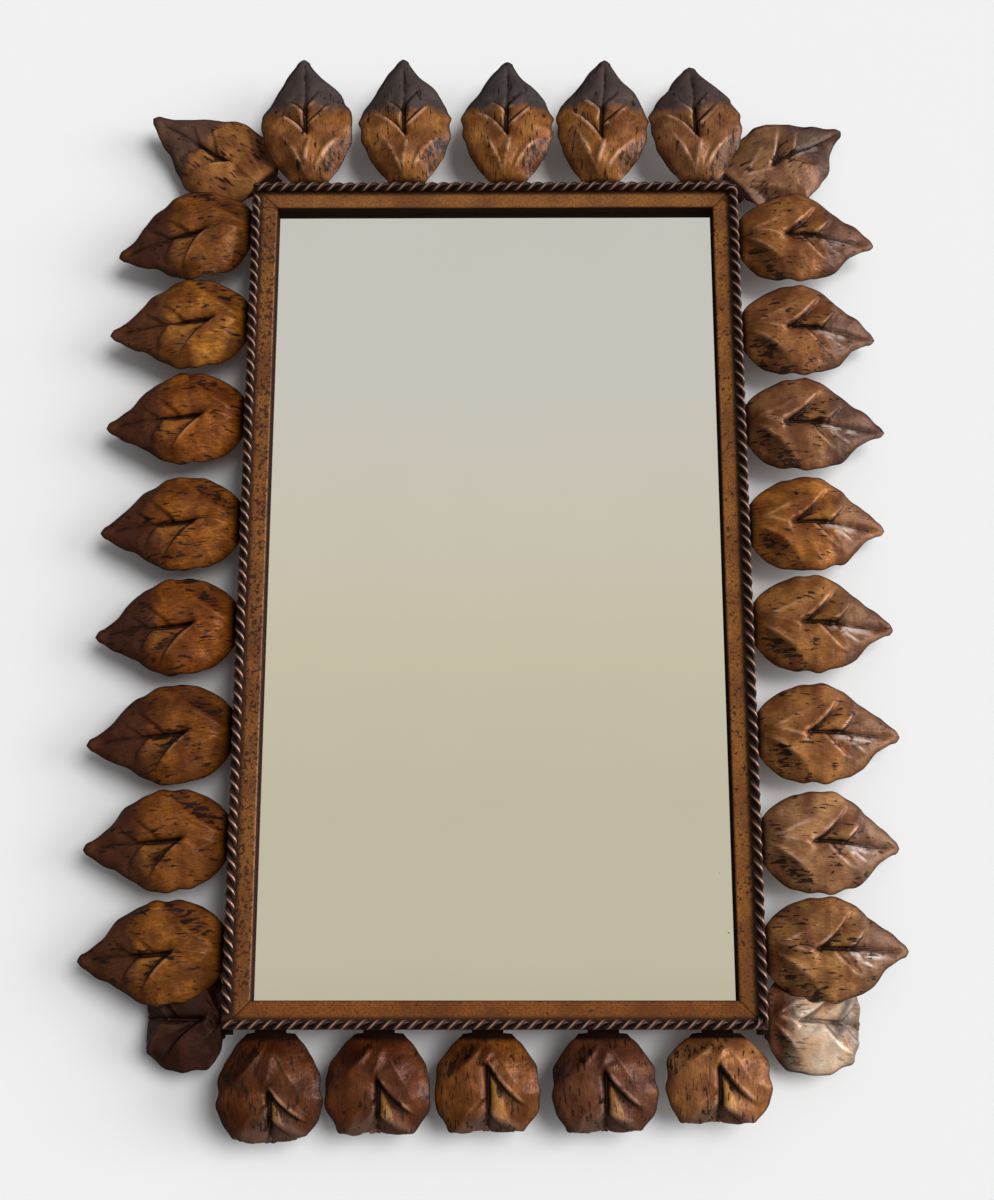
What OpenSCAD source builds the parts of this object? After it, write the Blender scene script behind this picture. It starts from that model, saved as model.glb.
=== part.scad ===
// Wall mirror in an iron frame with a twisted wire border and thirty embossed leaves.
// The frame hangs in the XZ plane: +X is right, +Z is up, and the wall is on the +Y side.
// The origin is the middle of the hanging hole, on the plane of the frame's back.

/* [Frame] */
// Width of the frame over its rails
frame_w = 310; // [306:2:400]
// Height of the frame over its rails
frame_h = 524; // [516:4:700]
// Width of a rail's face
rail_w = 16; // [15:0.5:24]
// Thickness of the rails, front to back
rail_d = 8; // [6:0.5:12]
// Bevel along each rail's inner front edge
rail_bevel = 0.8; // [0.4:0.1:2]

/* [Twisted wire] */
// Thickness of one of the wire's two strands
strand_d = 3; // [2:0.25:4]
// Length in which the strands make one full turn
turn_len = 15; // [12:1:24]
// Gap under the wire and at its ends
wire_gap = 0.15; // [0.1:0.05:0.4]

/* [Glass and back] */
// Thickness of the mirror glass
glass_t = 3; // [2:0.5:5]
// Thickness of the backing board
board_t = 3; // [2:0.5:5]
// How far the glass reaches behind each rail
glass_lap = 5; // [3:0.5:6]
// Play round the glass in its tray
glass_slack = 1; // [0.5:0.25:1.5]
// Thickness of the strips that make the tray
strip_t = 3; // [2:0.5:3.5]
// Depth of the tray behind the rails
tray_d = 20; // [17:0.5:26]

/* [Board clips] */
// Width of a clip
clip_w = 12; // [8:1:20]
// Thickness of a clip's sheet
clip_t = 1; // [0.6:0.1:1.6]
// Height of a clip on the tray's wall
clip_h = 4.5; // [3:0.5:5]
// Reach of a clip over the board
clip_reach = 9; // [6:1:14]

/* [Hanging plate] */
// Width of the plate
hanger_w = 26; // [20:1:40]
// Thickness of the plate
hanger_t = 2; // [1.5:0.5:3]
// Distance from the tray's wall to the middle of the hole
hanger_drop = 14; // [10:1:24]
// Diameter of the hole
hanger_hole_d = 9; // [6:0.5:12]

/* [Leaves] */
// Length of a leaf past the rail's edge
leaf_len = 91; // [70:1:110]
// Gap between neighbouring leaves where their pitch is least
leaf_gap = 3; // [2:0.5:12]
// Width of the tab by which a leaf is welded
neck_w = 18; // [12:1:22]
// Thickness of the leaf's sheet
sheet_t = 1.2; // [0.8:0.1:2]
// Depth of the midrib's groove
emboss = 2.6; // [1:0.2:4]
// How far a leaf's long edges drop back at its widest place
edge_drop = 4.5; // [2:0.5:6]
// How far a leaf's tip lies behind its crown
tip_drop = 6; // [2:1:10]
// Height of a leaf's crown before the rail's face
crown = 1.5; // [0:0.5:4]
// Angle by which the lower leaves are folded back at their last veins
tip_fold = 38; // [20:1:45]
// Angle from the blade to their tips, which are tucked in behind
tip_tuck = 164; // [150:2:168]
// Share of its width that a leaf loses where its tip is tucked in
tip_pinch = 0.2; // [0:0.05:0.3]
// How far the leaves along top and bottom are set out from their rails
row_out = 3; // [0:0.5:4]
// How much further out than the others the leaves along the top are widest
top_swell = 1.28; // [1:0.02:1.4]
// From the frame's end to the middle of the first leaf, along top and bottom
row_end = 29; // [28:1:40]
// From the frame's top to the middle of the first leaf on each side
side_top_end = 30; // [29:0.5:36]
// From the frame's bottom to the middle of the last leaf on each side
side_bottom_end = 45; // [42:0.5:50]
// Clearance between a leaf's tab and the tray
tab_gap = 1.5; // [1:0.25:2.5]

/* [Hidden] */
ROW_COUNT = 5;
SIDE_COUNT = 8;

$fn = 48;
IRON = "#3a2620";
COPPER = "#8a5626";

// The tray stands on the rails' backs, and what is outside it takes the leaves' tabs
tray_margin = rail_w - glass_lap - glass_slack - strip_t;
side_lap = tray_margin - tab_gap;
tray_w = frame_w - 2 * tray_margin;
tray_h = frame_h - 2 * tray_margin;
glass_w = tray_w - 2 * (strip_t + glass_slack);
glass_h = tray_h - 2 * (strip_t + glass_slack);
back_y = rail_d + tray_d;
hole_z = tray_h / 2 - strip_t - hanger_drop;

// Leaves are set out evenly, then moved, turned and bent a little by hand, from left to right or top down
row_pitch = (frame_w - 2 * row_end) / (ROW_COUNT - 1);
side_pitch = (frame_h - side_top_end - side_bottom_end) / (SIDE_COUNT - 1);
leaf_w = min(row_pitch, side_pitch) - leaf_gap;
TOP_SHIFT = [6, 6, 8, 5, 6];
BOTTOM_SHIFT = [-2, -3, -4, -1, 1];
LEFT_SHIFT = [4, 4, 4, 0, 0, -1, 0, 0];
RIGHT_SHIFT = [-4, -3, -1, -2, 0, -3, -2, 0];
TOP_LEAN = [4, 2.5, 0, -3, 2.5];
BOTTOM_LEAN = [2, 0, 0, 1, -1];
LEFT_LEAN = [13, 6, 4, 4, 5, 6, 5, 5];
RIGHT_LEAN = [-2, -2, -3, -1, -2, -1, -3, -1];
TOP_FOLD = [0, 0, 4, 2, 10];
BOTTOM_FOLD = [-6, 6, 6, 6, 8];
BOTTOM_TRIM = [3, 5.5, 6.5, 6.5, 11];
LEFT_FOLD = [10, 8, 10, 10, 12, 8, 12, 12];
RIGHT_FOLD = [11, 17, 11, 19, 15, 14, 22, 18];

// Corner leaves: the tab's direction, the blade's turn from it, and on the left and the right its fold.
// Those at the top are moved from the corner in towards the middle and up.
// They lie behind their neighbours, so their blades stand less far forward.
TOP_CORNER_OUT = 45;
TOP_CORNER_IN = [6, -1];
TOP_CORNER_UP = [6, 2];
TOP_CORNER_LEAN = [13, 12];
TOP_CORNER_FOLD = [6, 24];
TOP_CORNER_RISE = -0.4;
BOTTOM_CORNER_LEAN = [0, 5];
BOTTOM_CORNER_FOLD = [8, -4];
BOTTOM_CORNER_TRIM = [14, 7];
BOTTOM_CORNER_RISE = 0;
BOTTOM_CORNER_UP = 6;

// The leaf is a mesh of rows that run like its veins, further along at the edge than at the midrib
MIDRIB_AT = [0.05, 0.13, 0.26, 0.40, 0.53, 0.73, 0.86, 1];
EDGE_AT = [0.05, 0.15, 0.33, 0.51, 0.66, 0.68, 0.80, 1];
ACROSS = [-1, -0.6, -0.24, 0, 0.24, 0.6, 1];
FOLD_ROW = 4;
TUCK_ROW = 5;
ROOT = 0.8;
TURN = 0.18;
BASE = 0.26;
HALF_WIDTH = [[0.05, 0.56], [0.15, 0.79], [0.33, 0.98], [0.42, 1], [0.51, 0.96], [0.66, 0.68],
    [0.76, 0.49], [0.86, 0.35], [1, 0.04]];
LOBE = [[0.51, 0], [0.66, 0.08], [0.76, 0.05], [0.86, -0.08], [1, 0]];
DROP = [[0.05, 2.2], [0.15, 2.2], [0.33, 1.2], [0.42, 1], [0.51, 1.4], [0.66, 3], [1, 3]];
GROOVE = [[0.05, 0], [0.13, 0.4], [0.26, 1], [0.53, 1], [0.72, 0.4], [0.86, 0.3], [1, 0]];
PILLOW = [0, -0.1, 0.3, -0.35, 0.35, -0.25, 0, 0];

function sweep_back(c) = abs(ACROSS[c]);
function reach_at(r, c) = leaf_len * (MIDRIB_AT[r] + (EDGE_AT[r] - MIDRIB_AT[r]) * sweep_back(c));
function half_at(t, c, swell) = let (at = pow(t, swell))
    leaf_w / 2 * (lookup(at, HALF_WIDTH) + (c < 3 ? lookup(at, LOBE) : 0));
function spine_at(t, rise) = rail_d + rise * (lookup(t, [[0, 0], [0.05, -0.4 * rail_d],
    [0.13, -0.9 * rail_d], [0.38, -rail_d - crown], [0.66, -rail_d], [1, tip_drop - rail_d]]));
function dome_at(t, y) = edge_drop * lookup(t, DROP) * pow(abs(2 * y / leaf_w), 1.5);
function relief_at(r, c) = c == 3
    ? emboss * lookup(MIDRIB_AT[r], GROOVE)
    : emboss * (PILLOW[r] - (abs(ACROSS[c]) < 0.3 ? 0.3 : 0));

function sheet_at(u, y, rise) = [u, y, spine_at(u / leaf_len, rise) + dome_at(u / leaf_len, y)];

// A point of the leaf before its tip is bent, as [along, across, depth]
function blade_point(r, c, rise, pinch, swell) = let (
    narrow = pinch * lookup(r, [[FOLD_ROW - 1, 0], [FOLD_ROW, 0.4], [TUCK_ROW, 1]]),
    y = half_at(EDGE_AT[r], c, swell) * ACROSS[c] * (1 - narrow))
    sheet_at(reach_at(r, c), y, rise) + [0, 0, relief_at(r, c) * (r < 1 ? 0.3 : 1)];

// The tip turns back about a line that runs like the veins, and can be tucked in about a straight line
function fold_at(y) = let (edge = 2 * abs(y) / leaf_w / lookup(EDGE_AT[FOLD_ROW], HALF_WIDTH))
    leaf_len * (MIDRIB_AT[FOLD_ROW] + (EDGE_AT[FOLD_ROW] - MIDRIB_AT[FOLD_ROW]) * edge);
function turned(p, pivot, angle) = let (past = p[0] - pivot[0], sunk = p[2] - pivot[2])
    [pivot[0] + past * cos(angle) - sunk * sin(angle), p[1], pivot[2] + past * sin(angle) + sunk * cos(angle)];
function bent(p, r, fold, tuck, rise) = let (
    first = sheet_at(fold_at(p[1]), p[1], rise),
    second = turned(sheet_at(leaf_len * MIDRIB_AT[TUCK_ROW], p[1], rise), first, fold),
    back = turned(p, first, fold))
    r <= FOLD_ROW ? p : r <= TUCK_ROW ? back : turned(back, second, tuck);

// A corner leaf is cut shorter at its base, so what follows it moves towards the frame
function trimmed(p, trim) = [p[0] - trim * min(1, max(0, p[0]) / leaf_len / BASE), p[1], p[2]];

// The blade turns within the first part of its length, so that it leans while its tab stays straight
function leaned(p, lean) = let (
    turn = TURN * leaf_len,
    a = lean * min(1, max(0, p[0]) / turn),
    near = min(max(p[0], 0), turn),
    far = p[0] - near)
    [near * cos(a / 2) + far * cos(a) - p[1] * sin(a), p[2], near * sin(a / 2) + far * sin(a) + p[1] * cos(a)];

function tab_row(u) = [for (c = [0 : 6]) [u, neck_w / 2 * ACROSS[c], rail_d]];
function face_rows(lap, fold, tuck, rise, swell) = concat([tab_row(-lap), tab_row(ROOT)],
    [for (r = [0 : 7], pinch = tuck > 0 ? tip_pinch : 0)
        [for (c = [0 : 6]) bent(blade_point(r, c, rise, pinch, swell), r, fold, tuck, rise)]]);
function slope(rows, r, c) = let (
    a = rows[max(r - 1, 0)][c],
    b = rows[min(r + 1, len(rows) - 1)][c])
    atan2(b[2] - a[2], b[0] - a[0]);
function back_of(rows, r, c) = let (a = slope(rows, r, c), p = rows[r][c])
    [p[0] - sheet_t * sin(a), p[1], p[2] + sheet_t * cos(a)];

// Two triangles of a mesh square, cut to mirror each other on the two sides of the midrib
function two(a, b, c, d, flip) = flip ? [[a, b, c], [a, c, d]] : [[a, b, d], [b, c, d]];
function sheet_faces(rows, cols) = let (n = rows * cols) concat(
    [for (r = [0 : rows - 2], c = [0 : cols - 2]) let (i = r * cols + c)
        each two(i, i + cols, i + cols + 1, i + 1, c > 2)],
    [for (r = [0 : rows - 2], c = [0 : cols - 2]) let (i = n + r * cols + c)
        each two(i + 1, i + cols + 1, i + cols, i, c < 3)],
    [for (r = [0 : rows - 2]) let (i = r * cols) each two(i, n + i, n + i + cols, i + cols, true)],
    [for (r = [0 : rows - 2]) let (i = r * cols + cols - 1)
        each two(i + cols, n + i + cols, n + i, i, true)],
    [for (c = [0 : cols - 2]) each two(c, c + 1, n + c + 1, n + c, true)],
    [for (c = [0 : cols - 2]) let (i = n - cols + c) each two(i + 1, i, n + i, n + i + 1, true)]);

module leaf(lap, lean, fold, tuck, rise, trim, swell) {
    rows = face_rows(lap, fold, tuck, rise, swell);
    backs = [for (r = [0 : len(rows) - 1]) [for (c = [0 : 6]) back_of(rows, r, c)]];
    points = [for (side = [rows, backs], row = side, p = row) leaned(trimmed(p, trim), lean)];
    polyhedron(points, sheet_faces(len(rows), 7), convexity = 8);
}

// Puts a piece made round the frame's middle and face into the hanging frame
module hung() {
    translate([0, -back_y, -hole_z]) children();
}

module set_leaf(x, z, out, lap, lean, fold, tuck = 0, rise = 1, trim = 0, swell = 1) {
    color(COPPER) hung() translate([x, 0, z]) rotate([0, -out, 0])
        leaf(lap, lean, fold, tuck, rise, trim, swell);
}

module leaf_top(i) {
    x = (i - 1 - (ROW_COUNT - 1) / 2) * row_pitch + TOP_SHIFT[i - 1];
    set_leaf(x, frame_h / 2 + row_out, 90, side_lap + row_out, TOP_LEAN[i - 1], TOP_FOLD[i - 1],
        swell = top_swell);
}

module leaf_bottom(i) {
    x = (i - 1 - (ROW_COUNT - 1) / 2) * row_pitch + BOTTOM_SHIFT[i - 1];
    fold = tip_fold + BOTTOM_FOLD[i - 1];
    set_leaf(x, -frame_h / 2 - row_out, -90, side_lap + row_out, BOTTOM_LEAN[i - 1], fold, tip_tuck - fold,
        trim = BOTTOM_TRIM[i - 1]);
}

function side_z(i) = frame_h / 2 - side_top_end - (i - 1) * side_pitch;

module leaf_left(i) {
    z = side_z(i) + LEFT_SHIFT[i - 1];
    set_leaf(-frame_w / 2, z, 180, side_lap, LEFT_LEAN[i - 1], LEFT_FOLD[i - 1]);
}

module leaf_right(i) {
    z = side_z(i) + RIGHT_SHIFT[i - 1];
    set_leaf(frame_w / 2, z, 0, side_lap, RIGHT_LEAN[i - 1], RIGHT_FOLD[i - 1]);
}

module leaf_corner_top(side) {
    right = side == "right";
    k = right ? 1 : 0;
    set_leaf((2 * k - 1) * (frame_w / 2 - TOP_CORNER_IN[k]), frame_h / 2 + TOP_CORNER_UP[k],
        right ? TOP_CORNER_OUT : 180 - TOP_CORNER_OUT, tray_margin, (1 - 2 * k) * TOP_CORNER_LEAN[k],
        TOP_CORNER_FOLD[k], rise = TOP_CORNER_RISE);
}

module leaf_corner_bottom(side) {
    right = side == "right";
    k = right ? 1 : 0;
    fold = tip_fold + BOTTOM_CORNER_FOLD[k];
    set_leaf((2 * k - 1) * frame_w / 2, BOTTOM_CORNER_UP - frame_h / 2, right ? 0 : 180, side_lap,
        (1 - 2 * k) * BOTTOM_CORNER_LEAN[k], fold, tip_tuck - fold, BOTTOM_CORNER_RISE, BOTTOM_CORNER_TRIM[k]);
}

// A rail along X whose outer edge is at Z = 0, mitred at both ends
module rail(length) {
    intersection() {
        translate([-length / 2, 0, 0]) rotate([90, 0, 90]) linear_extrude(length)
            polygon([[0, 0], [rail_d, 0], [rail_d, -rail_w], [rail_bevel, -rail_w], [0, rail_bevel - rail_w]]);
        translate([0, rail_d + 1, 0]) rotate([90, 0, 0]) linear_extrude(rail_d + 2)
            polygon([[-length / 2, 0], [length / 2, 0], [length / 2 - rail_w, -rail_w],
                [rail_w - length / 2, -rail_w]]);
    }
}

module rail_top() {
    color(COPPER) hung() translate([0, 0, frame_h / 2]) rail(frame_w);
}

module rail_bottom() {
    color(COPPER) hung() translate([0, 0, -frame_h / 2]) rotate([0, 180, 0]) rail(frame_w);
}

module rail_left() {
    color(COPPER) hung() translate([-frame_w / 2, 0, 0]) rotate([0, -90, 0]) rail(frame_h);
}

module rail_right() {
    color(COPPER) hung() translate([frame_w / 2, 0, 0]) rotate([0, 90, 0]) rail(frame_h);
}

// Two strands laid round each other: one section with a waist, turned as it goes along X
LAY_STEPS = 5;
STRANDS = [[0.86, 0.38], [0, 0.2], [-0.86, 0.38], [-0.86, -0.38], [0, -0.2], [0.86, -0.38]];
wire_r = norm(STRANDS[0]) * strand_d;

module twisted_wire(length) {
    steps = round(length / turn_len * LAY_STEPS);
    points = [for (k = [0 : steps], s = STRANDS) let (a = -360 * k / LAY_STEPS)
        [length * k / steps - length / 2, strand_d * (s[0] * cos(a) - s[1] * sin(a)),
            strand_d * (s[0] * sin(a) + s[1] * cos(a))]];
    last = 6 * steps;
    caps = [[0, 1, 5], [1, 4, 5], [1, 2, 4], [2, 3, 4]];
    faces = concat(
        [for (k = [0 : steps - 1], j = [0 : 5]) let (a = 6 * k + j, b = 6 * k + (j + 1) % 6)
            each [[a, a + 6, b], [b, a + 6, b + 6]]],
        caps,
        [for (f = caps) [last + f[2], last + f[1], last + f[0]]]);
    polyhedron(points, faces, convexity = 10);
}

wire_y = -wire_r - wire_gap;

module wire_top() {
    color(IRON) hung() translate([0, wire_y, frame_h / 2 - wire_r]) twisted_wire(frame_w);
}

module wire_bottom() {
    color(IRON) hung() translate([0, wire_y, wire_r - frame_h / 2]) twisted_wire(frame_w);
}

module side_wire() {
    rotate([0, 90, 0]) twisted_wire(frame_h - 4 * wire_r - 2 * wire_gap);
}

module wire_left() {
    color(IRON) hung() translate([wire_r - frame_w / 2, wire_y, 0]) side_wire();
}

module wire_right() {
    color(IRON) hung() translate([frame_w / 2 - wire_r, wire_y, 0]) side_wire();
}

module mirror_glass() {
    color("#c3c2b2") hung() translate([-glass_w / 2, rail_d, -glass_h / 2]) cube([glass_w, glass_t, glass_h]);
}

module backing_board() {
    color("#7d5f41") hung() translate([-glass_w / 2, rail_d + glass_t, -glass_h / 2])
        cube([glass_w, board_t, glass_h]);
}

module tray_end(z) {
    color(IRON) hung() translate([-tray_w / 2, rail_d, z]) cube([tray_w, tray_d, strip_t]);
}

module tray_side(x) {
    color(IRON) hung() translate([x, rail_d, strip_t - tray_h / 2])
        cube([strip_t, tray_d, tray_h - 2 * strip_t]);
}

module tray_top() {
    tray_end(tray_h / 2 - strip_t);
}

module tray_bottom() {
    tray_end(-tray_h / 2);
}

module tray_left() {
    tray_side(-tray_w / 2);
}

module tray_right() {
    tray_side(tray_w / 2 - strip_t);
}

// Bent clips, welded to the tray's wall and pressed down over the board, at shares of its width and height
CLIPS_ALONG_ENDS = [-0.3, 0.3];
CLIPS_ALONG_SIDES = [-0.34, 0, 0.34];

module clip() {
    translate([-clip_w / 2, rail_d + glass_t + board_t, 0]) rotate([90, 0, 90]) linear_extrude(clip_w)
        polygon([[0, 0], [clip_h, 0], [clip_h, -clip_t], [clip_t, -clip_t], [clip_t, -clip_reach],
            [0, -clip_reach]]);
}

module board_clips() {
    inner_w = tray_w / 2 - strip_t;
    inner_h = tray_h / 2 - strip_t;
    color(IRON) hung() {
        for (x = CLIPS_ALONG_ENDS * tray_w, turn = [0, 180]) rotate([0, turn, 0]) translate([x, 0, inner_h]) clip();
        for (z = CLIPS_ALONG_SIDES * tray_h, turn = [-90, 90])
            rotate([0, turn, 0]) translate([z, 0, inner_w]) clip();
    }
}

module hanging_plate() {
    color(IRON) hung() translate([0, back_y, tray_h / 2 - strip_t]) rotate([90, 0, 0]) linear_extrude(hanger_t)
        difference() {
            union() {
                translate([-hanger_w / 2, -hanger_drop]) square([hanger_w, hanger_drop]);
                translate([0, -hanger_drop]) circle(d = hanger_w);
            }
            translate([0, -hanger_drop]) circle(d = hanger_hole_d);
        }
}

rail_top();
rail_bottom();
rail_left();
rail_right();
wire_top();
wire_bottom();
wire_left();
wire_right();
mirror_glass();
backing_board();
tray_top();
tray_bottom();
tray_left();
tray_right();
board_clips();
hanging_plate();
for (i = [1 : ROW_COUNT]) leaf_top(i);
for (i = [1 : ROW_COUNT]) leaf_bottom(i);
for (i = [1 : SIDE_COUNT]) leaf_left(i);
for (i = [1 : SIDE_COUNT]) leaf_right(i);
for (side = ["left", "right"]) leaf_corner_top(side);
for (side = ["left", "right"])
    leaf_corner_bottom(side);
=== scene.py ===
"""Wall mirror with an iron frame, a twisted wire border and thirty embossed leaves.

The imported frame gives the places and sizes. Every leaf, the wire and the rails are made here in
full detail round the same formulas as the solids, and the rest is dressed with materials.
"""
import math

import bpy
import numpy as np
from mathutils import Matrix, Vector


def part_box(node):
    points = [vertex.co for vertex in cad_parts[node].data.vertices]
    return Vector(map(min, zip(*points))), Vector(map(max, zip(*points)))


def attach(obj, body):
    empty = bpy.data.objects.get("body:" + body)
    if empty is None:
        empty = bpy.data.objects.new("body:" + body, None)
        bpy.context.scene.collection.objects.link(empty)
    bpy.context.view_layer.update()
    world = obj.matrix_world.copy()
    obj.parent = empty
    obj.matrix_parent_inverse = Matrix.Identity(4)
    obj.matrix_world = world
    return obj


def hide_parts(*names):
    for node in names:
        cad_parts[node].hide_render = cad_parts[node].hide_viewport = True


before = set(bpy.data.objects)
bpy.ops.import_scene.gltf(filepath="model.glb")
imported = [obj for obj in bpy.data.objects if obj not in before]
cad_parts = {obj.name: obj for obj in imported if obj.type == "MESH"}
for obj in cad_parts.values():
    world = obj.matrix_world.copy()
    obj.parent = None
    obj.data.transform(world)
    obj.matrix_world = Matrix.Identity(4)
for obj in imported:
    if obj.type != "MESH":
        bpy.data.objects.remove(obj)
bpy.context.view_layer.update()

MM = 0.001

# The frame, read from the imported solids
rail_low, rail_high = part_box("rail_top")
side_low, side_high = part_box("rail_left")
FRAME_W = (rail_high.x - rail_low.x) / MM
FRAME_H = (side_high.z - side_low.z) / MM
RAIL_W = (rail_high.z - rail_low.z) / MM
RAIL_D = (rail_high.y - rail_low.y) / MM
FACE_Y = rail_low.y / MM
MIDDLE_Z = (side_low.z + side_high.z) / 2 / MM


# Meshes

def new_piece(name, points, faces, replaces=(), smooth=True):
    """Makes an object from points in metres, puts it on the frame and hides the solids that it replaces."""
    mesh = bpy.data.meshes.new(name)
    mesh.from_pydata([tuple(p) for p in points], [], faces)
    mesh.update()
    if smooth:
        mesh.polygons.foreach_set("use_smooth", [True] * len(mesh.polygons))
    piece = bpy.data.objects.new(name, mesh)
    bpy.context.scene.collection.objects.link(piece)
    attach(piece, "root")
    if replaces:
        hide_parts(*replaces)
    return piece


def store(piece, name, values):
    """Keeps one number or one vector for each point of the mesh, for the materials to read."""
    values = np.asarray(values, float)
    kind = "FLOAT" if values.ndim == 1 else "FLOAT_VECTOR"
    layer = piece.data.attributes.new(name, kind, "POINT")
    layer.data.foreach_set("value" if values.ndim == 1 else "vector", values.ravel())


def grid_faces(rows, cols, start=0, flip=False):
    """Four-sided faces of a grid whose points are stored row by row."""
    r, c = np.meshgrid(np.arange(rows - 1), np.arange(cols - 1), indexing="ij")
    a = (start + r * cols + c).ravel()
    faces = np.stack([a, a + cols, a + cols + 1, a + 1], 1)
    return (faces[:, ::-1] if flip else faces).tolist()


def tube_faces(rings, sides, start=0, flip=False):
    """Faces of a closed tube whose points are stored ring by ring, with one face over each end."""
    ring, side = np.meshgrid(np.arange(rings - 1), np.arange(sides), indexing="ij")
    a = (start + ring * sides + side).ravel()
    b = (start + ring * sides + (side + 1) % sides).ravel()
    faces = np.stack([a, b, b + sides, a + sides], 1)
    first = list(range(start, start + sides))
    last = [i + (rings - 1) * sides for i in first]
    if flip:
        return faces[:, [0, 3, 2, 1]].tolist() + [first, last[::-1]]
    return faces.tolist() + [first[::-1], last]


def smooth_curve(x, knots):
    """A smooth curve through the knots, which are pairs in rising order."""
    xs, ys = np.array(knots, float).T
    step = np.diff(xs)
    rise = np.diff(ys) / step
    between = (rise[:-1] * step[1:] + rise[1:] * step[:-1]) / (step[1:] + step[:-1])
    tangent = np.concatenate([rise[:1], between, rise[-1:]])
    i = np.clip(np.searchsorted(xs, x, side="right") - 1, 0, len(xs) - 2)
    t = np.clip((x - xs[i]) / step[i], 0, 1)
    return ((2 * t**3 - 3 * t**2 + 1) * ys[i] + (t**3 - 2 * t**2 + t) * step[i] * tangent[i]
            + (3 * t**2 - 2 * t**3) * ys[i + 1] + (t**3 - t**2) * step[i] * tangent[i + 1])


def ease(x, low, high):
    """0 below low, 1 above high and a smooth step between them."""
    t = np.clip((x - low) / (high - low), 0, 1)
    return t * t * (3 - 2 * t)


def band(x, rise, fall):
    """1 between two smooth steps, each given by its low and its high, and 0 outside them."""
    return ease(x, *rise) * (1 - ease(x, *fall))


def bell(x, width):
    """1 where x is zero, falling smoothly on both sides."""
    return np.exp(-(x / width) ** 2)


# Leaves, in millimetres as in the solids. On a flat leaf x runs across it, and u along it from its base

LEAF_LEN = 91
LEAF_W = 60
NECK_W = 18
SHEET_T = 1.2
EDGE_DROP = 4.5
CROWN = 1.5
TIP_DROP = 6
FOLD_RADIUS = 3
TUCK_RADIUS = 1.8
ROW_OUT = 3
TAB_LAP = 5.5
CORNER_LAP = 7
TAB_END = 0.4
BACK_LIMIT = 0.4

# Angles by which a tip is folded back and then tucked in, in degrees
TIP_FOLD = 38
TIP_TUCK = 164

# Shares of the leaf's length: where its lean and its trim are complete, and where the tip folds and tucks in
TURN = 0.18
BASE = 0.26
FOLD_AT = 0.53
FOLD_EDGE_AT = 0.66
TUCK_AT = 0.73
TUCK_EDGE_AT = 0.68

# Shares of half the leaf's width: at the edge of the fold and of the tuck, and what is pinched off or added
FOLD_EDGE_HALF = 0.68
TUCK_EDGE_HALF = 0.54
TIP_PINCH = 0.2
SHOULDER = 0.13
WAVE = 0.012

# Powers that move the widest place towards the tip, and that crowd the grid towards the tip and the midrib
TOP_SWELL = 1.28
BOTTOM_SWELL = 1.06
ROW_POWER = 0.97
COL_POWER = 1.06
ROWS = 97
COLS = 69

# Half width on each side, drop of the edge and depth of the midrib, each along shares of the leaf's length
LEFT_EDGE = [(0, 0.36), (0.02, 0.43), (0.05, 0.55), (0.12, 0.74), (0.2, 0.88), (0.27, 0.95), (0.34, 0.97),
             (0.42, 1.0), (0.5, 0.965), (0.58, 0.85), (0.64, 0.73), (0.7, 0.6), (0.76, 0.49), (0.82, 0.41),
             (0.87, 0.33), (0.93, 0.19), (0.98, 0.085), (1, 0.0)]
RIGHT_EDGE = [(0, 0.36), (0.02, 0.44), (0.05, 0.56), (0.12, 0.76), (0.2, 0.91), (0.29, 0.98), (0.36, 0.975),
              (0.44, 1.0), (0.52, 0.93), (0.58, 0.855), (0.64, 0.8), (0.7, 0.69), (0.75, 0.54), (0.8, 0.385),
              (0.86, 0.26), (0.93, 0.15), (0.98, 0.085), (1, 0.0)]
DROP = [(0.05, 2.2), (0.15, 2.2), (0.33, 1.2), (0.42, 1.0), (0.51, 1.4), (0.66, 3.0), (1, 3.0)]
DOME_POWER = 1.5
SPINE = [(0, 0), (0.05, -0.4 * RAIL_D), (0.13, -0.9 * RAIL_D), (0.38, -RAIL_D - CROWN), (0.66, -RAIL_D),
         (1, TIP_DROP - RAIL_D)]

# The die's lines as start, end and bow, with places as (across, along) in millimetres
PLAIN_FORK = 26
UPPER_VEINS = [((-0.4, 49), (-13, 60), 0.8, 1.9), ((0.4, 40), (15, 56), -0.8, 1.7),
               ((0.3, 54), (10, 66), -0.4, 1.1)]
FIRST_VEIN_DEPTH = 2.7
BASE_RIDGE = ((0.5, 1), (22, 32), 2.2)

# Height and wavelength of the dents in the sheet and along its rim, and how far the rim is rounded off
DENT = 0.28
DENT_LEN = 15
RIM_DENT = 0.55
RIM_DENT_LEN = 24
RIM_ROUND = 1.5


def vein_line(x, u, start, end, bow):
    """Distance from a bowed line, above zero on the side of the leaf's base, and the share along it."""
    ax, au = start
    dx, du = end[0] - ax, end[1] - au
    length = math.hypot(dx, du)
    along = ((x - ax) * dx + (u - au) * du) / length
    off = ((x - ax) * du - (u - au) * dx) / length * (1 if dx > 0 else -1)
    share = along / length
    return off + bow * 4 * np.clip(share, 0, 1) * (1 - np.clip(share, 0, 1)), share


def pressed_vein(x, u, start, end, bow, depth, lips=(8, 6)):
    """A vein pressed as a step: a crest on the base's side and a groove on the tip's side."""
    off, share = vein_line(x, u, start, end, bow)
    side = ease(x * (1 if end[0] > 0 else -1), -0.6, 0.9)
    fade = side * band(share, (-0.12, 0.06), (0.7, 1.1))
    up = np.exp(-np.maximum(off - 0.8, 0) / lips[0])
    down = -1.2 * np.exp(-np.maximum(-off - 0.7, 0) / lips[1])
    step = ease(off, -1.0, 1.0)
    height = depth * fade * (up * step + down * (1 - step))
    groove = fade * bell(off + 1.0, 1.2) * (1 - 0.5 * ease(share, 0.4, 0.9))
    return height, fade * bell(off - 1.3, 1.5), groove


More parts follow.
